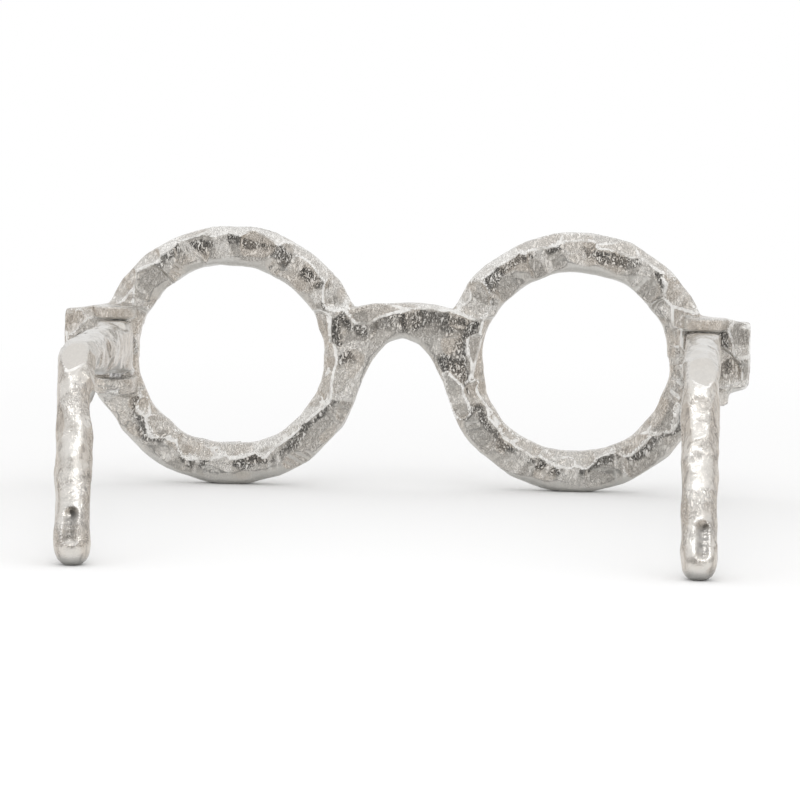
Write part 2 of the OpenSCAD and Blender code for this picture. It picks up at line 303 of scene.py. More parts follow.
def points_and_normals(piece):
    """The piece's points and their normals, as two tables."""
    mesh = piece.data
    points = np.empty(len(mesh.vertices) * 3, np.float64)
    mesh.vertices.foreach_get("co", points)
    normals = np.array([tuple(n.vector) for n in mesh.vertex_normals])
    return points.reshape(-1, 3), normals


def write_points(piece, points):
    """Moves the piece's points to new places."""
    piece.data.vertices.foreach_set("co", points.astype(np.float32).ravel())
    piece.data.update()


def write_mask(piece, name, values):
    """Keeps one number for each point, which the materials read."""
    mask = piece.data.attributes.new(name, "FLOAT", "POINT")
    mask.data.foreach_set("value", values.astype(np.float32))


def weight_group(piece, name, weights):
    """A vertex group with the weights rounded to tenths."""
    group = piece.vertex_groups.new(name=name)
    tenths = np.rint(weights * 10).astype(int)
    for tenth in range(1, 11):
        group.add(np.flatnonzero(tenths == tenth).tolist(), tenth / 10, "REPLACE")


def ramp(values, low, high):
    """Rises smoothly from 0 at low to 1 at high."""
    t = np.clip((values - low) / (high - low), 0, 1)
    return t * t * (3 - 2 * t)


def fall(values, low, high):
    """Falls smoothly from 1 at low to 0 at high."""
    return 1 - ramp(values, low, high)


def dots(first, second):
    """The scalar product of each row of one table with the same row of another."""
    return np.einsum("ij,ij->i", first, second)


def facet_centres(points, weights, spacing, rng):
    """Numbers of points, taken in a shuffled order, that keep an uneven distance apart."""
    chosen = []
    places = np.empty((0, 3))
    rooms = np.empty(0)
    order = rng.permutation(len(points))[: len(points) // 3]
    for i in order:
        room = spacing * rng.uniform(0.8, 1.7)
        if weights[i] < 0.3:
            continue
        gaps = np.sum((places - points[i]) ** 2, axis=1)
        if len(chosen) and np.any(gaps < np.minimum(room, rooms) ** 2):
            continue
        chosen.append(i)
        places = np.vstack([places, points[i]])
        rooms = np.append(rooms, room)
    return np.array(chosen)


def tilted(directions, spread, rng):
    """The same directions, each a little off."""
    off = directions + rng.normal(0, spread, directions.shape)
    return off / np.linalg.norm(off, axis=1)[:, None]


def hollow_heights(points, normals, marks):
    """How far each point stands above the surface of each hollow, and less than 0 outside it."""
    apart = points[:, None, :] - marks["centre"][None, :, :]
    along = np.einsum("ijk,jk->ij", apart, marks["aim"])
    square = np.einsum("ijk,ijk->ij", apart, apart)
    height = along + marks["depth"] - (square - along ** 2) / (2 * marks["bowl"])
    height -= HOLLOW_LIFT * ramp(-(normals @ marks["aim"].T), -0.5, 0.2)
    height -= HOLLOW_LIFT * ramp(square, HOLLOW_FULL ** 2, HOLLOW_REACH ** 2)
    height[square > HOLLOW_REACH ** 2] = -1
    return height


def ridge_line(height, slope):
    """1 on the line of a ridge and 0 off it, from the height over it and the slope beside it."""
    return fall(height / np.maximum(slope, LEAST_SLOPE), RIDGE_LINE, RIDGE_FADE)


def hammer(piece, weights, marks, rng):
    """Cuts shallow hollows into the piece. Neighbours meet in sharp ridges, and rims are sharp too.
    Marks holds a value for each hollow: centre, aim, depth, bowl (its radius), flute and
    flute_depth (its grooves), and edge (how bright its rim is). It also holds aside, how bright
    the rims are on faces that look up or sideways.
    Returns for each point how deep it lies in a hollow, how bright a ridge or rim it is on, how
    near it is to a bright rim from outside (below) and from inside (shore), and a number that is
    the same all over its hollow (tone)."""
    points, normals = points_and_normals(piece)
    centres, aims, edges = marks["centre"], marks["aim"], marks["edge"]
    tones = rng.uniform(0, 1, len(centres))
    waves = rng.uniform(2.2 * MM, 4.2 * MM, len(centres))
    bright = edges > 0.5
    cut, ridge, below, shore, tone = np.zeros((5, len(points)))
    for start in range(0, len(points), CHUNK):
        here = slice(start, start + CHUNK)
        height = hollow_heights(points[here], normals[here], marks)
        mine, other = np.argsort(-height, axis=1)[:, :2].T
        rows = np.arange(len(height))
        first, second = height[rows, mine], height[rows, other]
        tone[here] = tones[mine]

        place = dots(points[here] - centres[mine], marks["flute"][mine]) / waves[mine]
        groove = marks["flute_depth"][mine] * (0.5 - 0.5 * np.cos(2 * np.pi * place))
        cut[here] = np.maximum(0, first) + groove * ramp(first, 0, 0.35 * MM)

        slope = np.sqrt(np.maximum(0, 1 - dots(normals[here], aims[mine]) ** 2))
        turn = np.linalg.norm(aims[mine] - aims[other], axis=1)
        rim = ridge_line(np.abs(first), slope) * ramp(slope, 0.05, 0.25)
        between = ridge_line(first - second, turn) * ramp(turn, 0.1, 0.35) * (second > 0)
        brighter = np.maximum(edges[mine], edges[other])
        ridge[here] = np.maximum(rim * edges[mine], between * brighter)
        ridge[here] *= np.maximum(marks["aside"], ramp(np.abs(normals[here, 1]), 0.55, 0.8))

        nearest = np.max(height, axis=1, where=bright[None, :], initial=-1)
        on_bridge = fall(np.abs(points[here, 0]), 18 * MM, 32 * MM)
        reach = (2.5 + 3.5 * tones[mine] + 4 * on_bridge) * MM
        below[here] = fall(-nearest / reach, 0.1, 1) * (nearest < 0)
        inside = first / np.maximum(slope, LEAST_SLOPE) / (2.5 + 3 * tones[mine])
        shore[here] = fall(inside, 0.1 * MM, 1 * MM) * edges[mine] * (first > 0)
    lift = np.average(cut, weights=weights)
    moved = (np.minimum(cut, DEEPEST_CUT) - lift) * weights
    write_points(piece, points - normals * moved[:, None])
    return {
        "cut": cut * weights, "ridge": ridge * weights, "below": below,
        "shore": shore * weights, "tone": tone,
    }


def bar_marks(piece, weights, settings, rng):
    """Long flats along the bars' upper edges, front and back, and small fluted hollows on the
    faces below them. Room is how far a hollow may be cut at each point."""
    points, normals = points_and_normals(piece)
    face = np.abs(normals[:, 1])
    bevel = weights * (face > 0.55) * (face < 0.85) * (normals[:, 2] > -0.15)
    flats = facet_centres(points, bevel, 1.25 * settings.facet_spacing, rng)
    hollows = facet_centres(points, weights * (face > 0.92), 1.2 * settings.facet_spacing, rng)
    chosen = np.concatenate([flats, hollows])
    count = len(chosen)
    flat = np.arange(count) < len(flats)
    centres = points[chosen]
    aims = np.where(
        flat[:, None], tilted(normals[chosen], 0.08, rng), tilted(normals[chosen], 0.14, rng),
    )
    chance = rng.uniform(0, 1, count)
    depths = np.where(flat, 0.3 + 0.8 * chance, 0.15 + 0.45 * chance)
    bowls = np.where(flat, rng.uniform(2, 5, count), rng.uniform(0.6, 1.6, count))
    hubs = np.where(centres[:, :1] < 0, -LENS_X, LENS_X) * (1, 0, 0) + np.array((0, 0, LENS_Z))
    radial = (centres - hubs) * (1, 0, 1)
    round_bar = np.cross(radial, (0, 1, 0)) / np.linalg.norm(radial, axis=1)[:, None]
    flutes = np.where(np.abs(centres[:, :1]) > LEFT_LUG, (1.0, 0, 0), round_bar)
    return {
        "centre": centres,
        "aim": aims,
        "depth": settings.facet_depth * depths,
        "bowl": settings.bowl_radius * bowls,
        "flute": tilted(flutes, 0.25, rng),
        "flute_depth": np.where(flat, 0.05, 0.40) * MM * rng.uniform(0, 1, count),
        "edge": np.where(flat, 1.0, rng.uniform(0, 0.12, count)),
        "aside": 0.3,
        "room": ramp(face, 0.15, 0.6),
    }


def hook_back(points, height):
    """The middle of the hook's back at a height."""
    level = points[(np.abs(points[:, 2] - height) < 0.7 * MM) & (points[:, 1] < -0.1)]
    middle = (level[:, 0].min() + level[:, 0].max()) / 2 + 0.8 * MM
    return np.array((middle, level[np.abs(level[:, 0] - middle) < 1.5 * MM, 1].min(), height))


def arm_marks(piece, weights, settings, rng):
    """Softer hollows all over an arm, one flat ground across its bend, and a trough low down on
    the hook's back."""
    points, normals = points_and_normals(piece)
    chosen = facet_centres(points, weights, 1.45 * settings.facet_spacing, rng)
    bend = np.array((0, -math.sin(BEND_SLOPE), math.cos(BEND_SLOPE)))
    corner = points[np.argmax(points @ bend)]
    back = np.array([hook_back(points, height) for height in TROUGH])
    aims = tilted(normals[chosen], 0.10, rng)
    depths = settings.facet_depth * rng.uniform(0.15, 0.6, len(chosen))
    bowls = settings.bowl_radius * rng.uniform(0.8, 2.5, len(chosen))
    hook = (points[chosen][:, 1] < HOOK_Y) & (normals[chosen][:, 1] < -0.5)
    depths[hook] *= 0.6
    count = len(chosen) + 1 + len(back)
    edges = np.full(len(chosen), 0.08)
    return {
        "centre": np.vstack([points[chosen], corner, back]),
        "aim": np.vstack([aims, bend, np.tile(TROUGH_AIM, (len(back), 1))]),
        "depth": np.concatenate([depths, [BEND_DEPTH], np.full(len(back), TROUGH_DEPTH)]),
        "bowl": np.concatenate([bowls, [BEND_BOWL], np.full(len(back), TROUGH_BOWL)]),
        "flute": np.tile((1.0, 0, 0), (count, 1)),
        "flute_depth": np.zeros(count),
        "edge": np.concatenate([edges, [1.0], np.full(len(back), 0.45)]),
        "aside": 0.0,
        "room": 1.0,
    }


def teeth(points, rng):
    """Painted light bands that cross the bars, 1 in a band and 0 between two. They run outwards
    from each ring's middle, and across the bridge."""
    hubs = np.where(points[:, 0] < 0, -LENS_X, LENS_X)
    angle = np.arctan2(points[:, 2] - LENS_Z, points[:, 0] - hubs) / (2 * np.pi) % 1
    bridge = fall(np.abs(points[:, 0]), 14 * MM, 20 * MM)
    place = np.where(bridge > 0.5, points[:, 0] / BRIDGE_TURN % 1, angle)
    place = place + 0.004 * np.sin(points[:, 0] / (3 * MM))
    place = place + 0.004 * np.sin(points[:, 2] / (3.7 * MM))
    band = np.zeros(len(points))
    for count, share in BANDS:
        knots = rng.uniform(0, 1, count)
        at = place * count
        first = np.floor(at).astype(int)
        t = ramp(at - first, 0.2, 0.8)
        band += share * (knots[first % count] * (1 - t) + knots[(first + 1) % count] * t)
    return ramp(band / sum(share for _, share in BANDS), 0.57, 0.68) * (1 - 0.6 * bridge)


def stain(points, normals):
    """How dark the trough on the hook's back is painted: a darker spot at its top, a thin tail
    below it, and a little painted shade all over the trough."""
    hook = (points[:, 1] < HOOK_Y) & (normals[:, 1] < 0.1)
    if not hook.any():
        return np.zeros(len(points))
    top = hook_back(points, TROUGH[-1])
    aside = points[:, 0] - top[0] - 0.5 * MM * np.sin(points[:, 2] / (2.2 * MM))
    above = points[:, 2] - top[2]
    darkening = np.exp(-(aside / (2.6 * MM)) ** 2 - (above / (2.6 * MM)) ** 2)
    tail = ramp(above, -10 * MM, -8 * MM) * ramp(-above, -1 * MM, 1 * MM)
    tail *= np.exp(-(aside / (1.3 * MM)) ** 2)
    trough = ramp(above, -10 * MM, -7 * MM) * ramp(-above, -2 * MM, 0)
    trough *= np.exp(-(aside / (2.6 * MM)) ** 4)
    return hook * np.maximum(np.maximum(darkening, 0.85 * tail), 0.65 * trough)


def bridge_crest(points, upright):
    """The crest line over the bridge's left half, painted as a highlight, and a strip of painted
    shade under it.
    """
    x = points[:, 0]
    under = np.interp(x, CREST_X, CREST_Z) - points[:, 2]
    arch = ramp(x, -24 * MM, -21 * MM) * ramp(-x, 1 * MM, 4 * MM) * ramp(upright, 0.4, 0.7)
    crest = 0.9 * arch * fall(np.abs(under), 0.3 * MM, 0.8 * MM)
    strip = arch * ramp(under, 0.2 * MM, 1.2 * MM) * fall(under, 4 * MM, 7 * MM)
    return crest, 0.9 * strip


def surface_masks(piece, weights, skin, rng):
    """Writes the masks that the cast metal reads: ridges and rims, where highlights are painted;
    hollows; upright faces, and the strips on them under the crests, where the grain's dark pits
    gather with painted shade; faces that look down, which are a little rougher and carry painted
    shade; side walls; upper faces, which carry painted light; each hollow's own tone; painted light
    bands; the darkened troughs of the hooks; and the shores inside bright rims. The left lug is
    ground clean, and the right one is as cast, with dark pits on its face that are partly painted
    shade and a painted highlight on its rim. The bridge has its own painted crest highlight and
    painted shade strip."""
    points, normals = points_and_normals(piece)
    x, upright = points[:, 0], np.abs(normals[:, 1])
    left_end = ramp(-x, LEFT_LUG - 4 * MM, LEFT_LUG + 4 * MM)
    right_end = ramp(x, RIGHT_LUG, RIGHT_LUG + 6 * MM)
    # The right lug's rim gets a painted highlight.
    rim = ramp(x, RIGHT_RIM, RIGHT_RIM + 3 * MM)
    rim *= ramp(upright, 0.35, 0.6) * fall(upright, 0.85, 0.97)
    # Dark pits under the crests and on the right lug's face: partly painted shade.
    below = np.maximum(skin["below"], 0.45 * right_end)
    below *= 1 - 0.8 * ramp(x, RIGHT_RIM - 5 * MM, RIGHT_RIM - 2 * MM)
    level = fall(np.abs(normals[:, 2] + 0.08), 0.25, 0.6)
    face = level * ramp(upright, 0.72, 0.95) * ramp(weights, 0.3, 0.6) * (1 - left_end)
    # A painted highlight line along the bridge's crest, and a painted shade strip under it.
    crest, strip = bridge_crest(points, upright)
    bridge = fall(np.abs(x), 22 * MM, 34 * MM)
    masks = {
        "ridge": np.maximum(np.maximum(skin["ridge"], rim), crest),
        "hollow": ramp(skin["cut"], 0.0, 0.15 * MM),
        "face": face,
        "rough": np.maximum(face * below * (1 - 0.2 * bridge), strip),
        # Faces that look down: a little rougher, and darkened with painted shade.
        "dull": ramp(-normals[:, 2], 0.1, 0.7),
        "side": ramp(np.abs(normals[:, 0]), 0.25, 0.75),
        "up": ramp(normals[:, 2], 0.2, 0.65),
        "tone": skin["tone"],
        "teeth": teeth(points, rng),
        "stain": stain(points, normals),
        "shore": skin["shore"],
    }
    for name, values in masks.items():
        write_mask(piece, name, values)


def keep_in_box(piece):
    """Flattens what stands out of the construction model's box on its four sides."""
    points, _ = points_and_normals(piece)
    for axis, room in ((0, 0.4 * MM), (1, 1.0 * MM)):
        for side, edge in ((-1, CAD_BOX[0][axis]), (1, CAD_BOX[1][axis])):
            place = points[:, axis]
            over = side * (place - edge) + room
            flattened = edge - side * room + side * 0.95 * room * np.tanh(over / room)
            points[:, axis] = np.where(over > 0, flattened, place)
    write_points(piece, points)


def thin_out(piece):
    """Brings the piece under the most triangles that it may have, where it is flattest."""
    triangles = sum(len(face.vertices) - 2 for face in piece.data.polygons)
    if triangles > MOST_TRIANGLES:
        apply_modifier(piece, "Fewer faces", "DECIMATE", ratio=MOST_TRIANGLES / triangles)


def finish_casting(piece, weights, seed, make_marks):
    """Rounds off the construction facets, hammers the surface, gives it swells and fine waves,
    writes the masks that the metal reads, and thins it out. Weights is how far each point may
    be moved."""
    settings = bpy.context.scene.casting_settings
    rng = np.random.default_rng(seed)
    weight_group(piece, "soft", weights)
    apply_modifier(
        piece, "Round off", "SMOOTH", factor=0.5, iterations=settings.smoothing,
        vertex_group="soft",
    )
    marks = make_marks(piece, weights, settings, rng)
    skin = hammer(piece, weights * marks["room"], marks, rng)
    for label, size, depth in (
        ("swells", 11 * MM, 0.5 * MM),
        ("waves", 2.6 * MM, settings.ripple),
    ):
        waves = bpy.data.textures.new(piece.name + " " + label, "CLOUDS")
        waves.noise_scale = size
        waves.noise_depth = 1
        apply_modifier(
            piece, label, "DISPLACE", texture=waves, texture_coords="LOCAL", direction="NORMAL",
            strength=depth, mid_level=0.5, vertex_group="soft",
        )
    keep_in_box(piece)
    surface_masks(piece, weights, skin, rng)
    thin_out(piece)
    piece.vertex_groups.clear()
    bpy.ops.object.shade_smooth()


class Graph:
    """Builds shader nodes in a tree. What goes into a node is a number, a vector, a colour or
    another node's output."""

    def __init__(self, tree):
        self.tree = tree

    def feed(self, target, value):
        """Links an output to an input, or gives the input a number, a vector or a colour."""
        if isinstance(value, bpy.types.NodeSocket):
            self.tree.links.new(value, target)
        elif target.type == "RGBA":
            target.default_value = (*value, 1)
        else:
            target.default_value = value

    def node(self, kind, inputs=(), **values):
        """A shader node with its own settings, and with what goes into its inputs."""
        made = self.tree.nodes.new(kind)
        for key, value in values.items():
            setattr(made, key, value)
        for key, value in dict(inputs).items():
            self.feed(made.inputs[key], value)
        return made

    def place(self):
        """The place on the object."""
        return self.node("ShaderNodeTexCoord").outputs["Object"]

    def mask(self, name):
        """One of the masks that were written on the mesh."""
        return self.node("ShaderNodeAttribute", attribute_name=name).outputs["Fac"]

    def math(self, operation, first, second=0.0, clamp=False):
        """The result of a Math node."""
        inputs = {0: first, 1: second}
        return self.node("ShaderNodeMath", inputs, operation=operation, use_clamp=clamp).outputs[0]

    def plus(self, first, second, clamp=False):
        """A sum."""
        return self.math("ADD", first, second, clamp)

    def minus(self, first, second, clamp=False):
        """A difference."""
        return self.math("SUBTRACT", first, second, clamp)

    def times(self, first, *others):
        """The product of two or more values."""
        for other in others:
            first = self.math("MULTIPLY", first, other)
        return first

    def largest(self, first, *others):
        """The largest of two or more values."""
        for other in others:
            first = self.math("MAXIMUM", first, other)
        return first

    def span(self, value, low, high, to_low=0.0, to_high=1.0):
        """Maps a value from one range to another, smoothly."""
        inputs = {
            "Value": value, "From Min": low, "From Max": high, "To Min": to_low, "To Max": to_high,
        }
        made = self.node("ShaderNodeMapRange", inputs, interpolation_type="SMOOTHSTEP")
        return made.outputs[0]

    def noise(self, vector, scale, detail=3.0, roughness=0.55, distortion=0.0):
        """Soft noise between 0 and 1."""
        inputs = {
            "Vector": vector, "Scale": scale, "Detail": detail,
            "Roughness": roughness, "Distortion": distortion,
        }
        return self.node("ShaderNodeTexNoise", inputs).outputs["Fac"]

    def mix(self, share, first, second):
        """A mix of two colours."""
        inputs = {0: share, 6: first, 7: second}
        return self.node("ShaderNodeMix", inputs, data_type="RGBA").outputs[2]

    def scaled(self, vector, scale):
        """A vector or a colour, times a number."""
        inputs = {0: vector, "Scale": scale}
        return self.node("ShaderNodeVectorMath", inputs, operation="SCALE").outputs[0]

    def stretched(self, vector, scale, turn=(0.0, 0.0, 0.0)):
        """A place that is turned and scaled."""
        inputs = {"Vector": vector, "Rotation": turn, "Scale": scale}
        return self.node("ShaderNodeMapping", inputs).outputs[0]

    def bump(self, height, distance):
        """A normal for the shader, from a height."""
        inputs = {"Strength": 1.0, "Distance": distance, "Height": height}
        return self.node("ShaderNodeBump", inputs).outputs[0]

    def rays(self):
        """Whether a ray comes straight from the camera, and whether it comes from it at all,
        also by way of a mirror or through glass."""
        path = self.node("ShaderNodeLightPath").outputs
        seen = self.plus(path["Is Camera Ray"], path["Is Glossy Ray"])
        return path["Is Camera Ray"], self.plus(seen, path["Is Transmission Ray"], clamp=True)


def new_material(name):
    """A material, with the graph of its nodes and its shader."""
    material = bpy.data.materials.new(name)
    material.use_nodes = True
    return material, Graph(material.node_tree), material.node_tree.nodes["Principled BSDF"]


def sand_grain():
    """The node group of the sand-cast grain, made once: fine crooked wrinkles that are taller
    than wide and lean a little, with pits between them."""
    label = "Sand-cast grain"
    if label in bpy.data.node_groups:
        return bpy.data.node_groups[label]
    tree = bpy.data.node_groups.new(label, "ShaderNodeTree")
    scale = tree.interface.new_socket("Scale", in_out="INPUT", socket_type="NodeSocketFloat")
    scale.default_value = 600.0
    for output in ("Height", "Pits"):
        tree.interface.new_socket(output, in_out="OUTPUT", socket_type="NodeSocketFloat")
    graph = Graph(tree)
    inside = graph.node("NodeGroupInput")
    upright = graph.stretched(graph.place(), (1.35, 1.0, 0.7), turn=(0.0, 0.3, 0.0))
    sized = graph.scaled(upright, inside.outputs["Scale"])
    wrinkle = graph.noise(sized, 1.0, detail=2.0, roughness=0.6, distortion=0.9)
    crest = graph.span(graph.math("ABSOLUTE", graph.minus(wrinkle, 0.5)), 0.0, 0.14)
    fine = graph.noise(sized, 2.7, detail=2.0, roughness=0.7)
    height = graph.plus(graph.times(crest, 0.7), graph.times(fine, 0.6))
    spread = graph.noise(sized, 0.13, detail=2.0)
    pits = graph.times(graph.span(crest, 0.55, 0.05), graph.span(spread, 0.38, 0.62))
    graph.node("NodeGroupOutput", {"Height": height, "Pits": pits})
    return tree


class CastMetal:
    """Hammered cast metal. Ridges and rims carry painted white highlights, upper faces painted
    light and side walls a warm painted shade; faces that look down are a little rougher and carry
    painted shade, and front and back faces are darker, partly from their cast colour and partly
    from painted shade. Coarseness is how strong the grain is where the metal is smoothest, and
    streaks the upright grinding marks."""

    def __init__(self, name, coarseness, streaks):
        self.material, self.graph, shader = new_material(name)
        self.coarseness = coarseness
        self.finish = bpy.context.scene.finish_settings
        for label in MASKS:
            setattr(self, label, self.graph.mask(label))
        self.place = self.graph.place()
        self.cloud = self.graph.noise(self.place, 55.0)
        self.painted_band_on_face = self.graph.times(self.teeth, self.face)
        sand = self.grain(1.0)
        self.height, self.pits = sand["Height"], sand["Pits"]
        self.connect(shader, streaks)

    def grain(self, fineness):
        """The outputs of the sand-cast grain."""
        inputs = {"Scale": fineness / self.finish.grain}
        return self.graph.node("ShaderNodeGroup", node_tree=sand_grain(), inputs=inputs).outputs

    def connect(self, shader, streaks):
        """Joins the parts of the metal in its shader."""
        graph = self.graph
        cluster = self.clusters()
        patchiness = graph.span(graph.noise(self.place, 420.0), 0.35, 0.6, 0.65, 0.98)
        darkening = graph.times(self.stain, patchiness)
        deep = self.depth(cluster, darkening)
        marks = graph.noise(graph.stretched(self.place, (1.0, 1.0, 0.12)), 700.0, detail=2.0)
        flank = graph.times(graph.span(self.side, 0.2, 0.9, 0.04, 1.0), streaks)
        painted_highlight = self.painted_highlight(cluster)
        colour = graph.scaled(self.colour(cluster), self.shade(deep, marks, flank))
        colour = graph.mix(self.seam(), colour, self.finish.pits)
        # The hooks' troughs are darkened: painted shade in the trough, darkest in a spot at its
        # top.
        colour = graph.mix(darkening, colour, tuple(TROUGH_DARKNESS * c for c in self.finish.pits))
        # Painted highlights: white, and not metallic where they lie.
        colour = graph.mix(painted_highlight, colour, self.finish.ridges)
        gloss = graph.span(self.ridge, 0.0, 1.0, 0.22, 0.3)
        gloss = graph.plus(gloss, graph.times(self.dull, 0.05))
        gloss = graph.plus(gloss, graph.times(self.cloud, 0.08))
        height = graph.plus(graph.times(self.height, deep), graph.times(marks, flank))
        graph.feed(shader.inputs["Base Color"], colour)
        graph.feed(shader.inputs["Metallic"], graph.minus(1.0, painted_highlight))
        graph.feed(shader.inputs["Roughness"], gloss)
        graph.feed(shader.inputs["Normal"], graph.bump(height, self.finish.grain_depth))

    def clusters(self):
        """Patches of dark pits in the strips under the crests, broken up by the painted light
        bands: partly the grain's own pits and partly painted shade under the crests.
        """
        graph = self.graph
        patch = graph.times(graph.minus(graph.noise(self.place, 75.0, detail=2.0), 0.5), 1.2)
        cluster = graph.span(graph.plus(self.rough, patch), 0.22, 0.75)
        cluster = graph.times(cluster, graph.span(self.rough, 0.0, 0.3), self.coarseness)
        return graph.times(cluster, graph.span(self.painted_band_on_face, 0.0, 0.8, 1.0, 0.12))

    def colour(self, cluster):
        """The metal's colour, before it is shaded."""
        graph, finish, coarseness = self.graph, self.finish, self.coarseness
        tan = graph.times(graph.span(self.tone, 0.2, 0.9), self.hollow)
        # Side walls lean to the warm, darker colour: painted shade on them.
        tan = graph.plus(tan, graph.times(self.side, 0.6))
        clouds = graph.times(graph.span(self.cloud, 0.42, 0.62), 0.6)
        tan = graph.plus(tan, clouds, clamp=True)
        tan = graph.minus(tan, graph.times(self.teeth, 0.5 * coarseness), clamp=True)
        colour = graph.mix(tan, finish.polished, finish.warm)
        # Upper faces are mixed towards the white: painted light from above.
        colour = graph.mix(graph.times(self.up, 0.7 - 0.2 * coarseness), colour, finish.ridges)
        # Front and back faces are darker by each hollow's tone, less in the light bands: partly
        # their cast colour and partly painted shade.
        darker = graph.span(self.tone, 0.5, 0.75, 0.85 * coarseness, 0.3 * coarseness)
        between = graph.span(self.painted_band_on_face, 0.0, 1.0, 1.0, 0.1)
        colour = graph.mix(graph.times(self.face, darker, between), colour, finish.as_cast_and_shaded)
        # Faces that look down are mixed towards a darker colour: painted shade.
        colour = graph.mix(graph.times(self.dull, 0.9), colour, finish.underside_shade)
        # Dark pits in the patches under the crests: partly the grain's own pits and partly painted
        # shade.
        return graph.mix(graph.times(self.pits, cluster), colour, finish.pits)

    def painted_highlight(self, cluster):
        """Painted highlights, white and not metallic: broken crests, flecks in the dark pit
        patches, painted light in some hollows on upper faces, sparks of the grain, the crackle
        inside bright rims, and glints in the painted light bands."""
        graph, coarseness = self.graph, self.coarseness
        peaks = graph.span(self.height, 0.8, 1.0)
        breaks = graph.noise(self.place, 120.0, detail=4.0, roughness=0.65)
        crest = graph.span(self.ridge, 0.08, 0.6)
        crest = graph.times(crest, graph.span(breaks, 0.39, 0.54, 0.22, 1.0))
        painted_hollow_light = graph.times(graph.span(self.tone, 0.24, 0.2), self.hollow, self.up)
        painted_hollow_light = graph.times(painted_hollow_light, graph.span(self.height, 0.25, 0.75, 0.35, 1.0))
        upper = graph.span(self.dull, 0.0, 0.5, 0.17 * coarseness, 0.0)
        crackle = graph.span(graph.plus(self.height, self.shore), 0.95, 1.35)
        patchy = graph.span(self.cloud, 0.4, 0.55, 0.35 * coarseness, coarseness)
        glint = graph.span(graph.noise(self.place, 380.0, detail=2.0), 0.46, 0.6)
        return graph.largest(
            graph.times(peaks, cluster, 0.5),
            crest,
            graph.times(painted_hollow_light, 0.85 * coarseness),
            graph.times(peaks, upper),
            graph.times(crackle, patchy, graph.span(self.shore, 0.0, 0.3)),
            graph.times(self.painted_band_on_face, glint, 0.3 * coarseness),
        )

    def depth(self, cluster, darkening):
        """How deep the grain is: deepest in the dark pit patches, and hardly any where the hook's
        trough is darkened.
        """
        graph, coarseness = self.graph, self.coarseness
        plain = graph.span(self.dull, 0.2, 0.8, 0.1 + 0.48 * coarseness, 0.12)
        worn = graph.span(self.up, 0.98, 0.85, 0.0, 0.35 * (1 - coarseness))
        worn = graph.times(graph.span(self.cloud, 0.5, 0.56), worn)
        deep = graph.plus(graph.plus(graph.times(cluster, 0.9), plain), worn)
        return graph.times(deep, graph.minus(1.0, darkening))

    def shade(self, deep, marks, flank):
        """How light the metal is: painted shade in the grain's valleys, and darker in scratches and
        in streaks.
        """
        graph, coarseness = self.graph, self.coarseness
        # Painted shade in the grain's valleys.
        valley = graph.times(graph.span(self.height, 0.9, 0.2), deep, 0.46)
        scratch = graph.span(self.grain(2.3)["Height"], 0.95, 0.4, 0.0, 0.24 * coarseness)
        scratch = graph.times(scratch, graph.span(self.dull, 0.2, 0.9, 1.0, 0.4))
        streak = graph.times(graph.span(marks, 0.5, 0.36), graph.times(flank, 0.4))
        shade = graph.minus(0.825 + 0.255 * coarseness, valley)
        return graph.minus(graph.minus(shade, scratch), streak)

    def seam(self):
        """Thin dark lines that come and go where the faces turn downwards."""
        graph = self.graph
        wavy = graph.plus(self.dull, graph.times(graph.noise(self.place, 120.0), 0.5))
        seam = graph.span(graph.math("ABSOLUTE", graph.minus(wavy, 0.55)), 0.09, 0.03)
        gaps = graph.noise(self.place, 90.0)
        return graph.times(seam, graph.span(gaps, 0.45, 0.55, 0.0, 0.85 * self.coarseness))


def pin_metal():
    """Ground steel with fine turning marks."""
    steel = bpy.context.scene.finish_settings.pin_steel
    material, graph, shader = new_material("Pin steel")
    place = graph.place()
    cloud = graph.noise(place, 900.0)
    dark = tuple(PIN_SHADE * c for c in steel)
    colour = graph.mix(graph.span(cloud, 0.35, 0.7), steel, dark)
    graph.feed(shader.inputs["Metallic"], 1.0)
    graph.feed(shader.inputs["Base Color"], colour)
    graph.feed(shader.inputs["Roughness"], graph.span(cloud, 0.3, 0.7, 0.22, 0.4))
    graph.feed(shader.inputs["Normal"], graph.bump(graph.noise(place, 2500.0), 0.03 * MM))
    return material


def frame_weights(points, ends, pins):
    """How far the front casting's points may be moved: not at all at the feet, little at the
    hinges, and less than elsewhere at the two ends."""
    weights = ramp(points[:, 2], 0.2 * MM, 10 * MM)
    for end in ends:
        weights *= ramp(np.abs(points[:, 0] - end), 0, 3.0 * MM) * 0.4 + 0.6
    for pin_low, pin_high in pins:
        middle = (pin_low + pin_high) / 2
        aside = np.abs(points[:, 0] - middle.x)
        near = np.hypot(aside, points[:, 1] - middle.y) < PIN_ROOM
        behind = points[:, 1] < middle.y + HINGE_FRONT
        crisp = near | (points[:, 2] > pin_low.z + PIN_ROOM)
        weights[(aside < HINGE_SIDE) & behind & crisp] *= 0.25
    return weights


def arm_weights(points, pin_low, pin_high):
    """How far an arm's points may be moved: not at all at the foot, and little at the hinge."""
    middle = (pin_low + pin_high) / 2
    away = np.hypot(points[:, 0] - middle.x, points[:, 1] - middle.y)
    weights = 0.1 + 0.9 * ramp(away, 9 * MM, 18 * MM)
    return weights * ramp(points[:, 2], 0.2 * MM, 9 * MM)


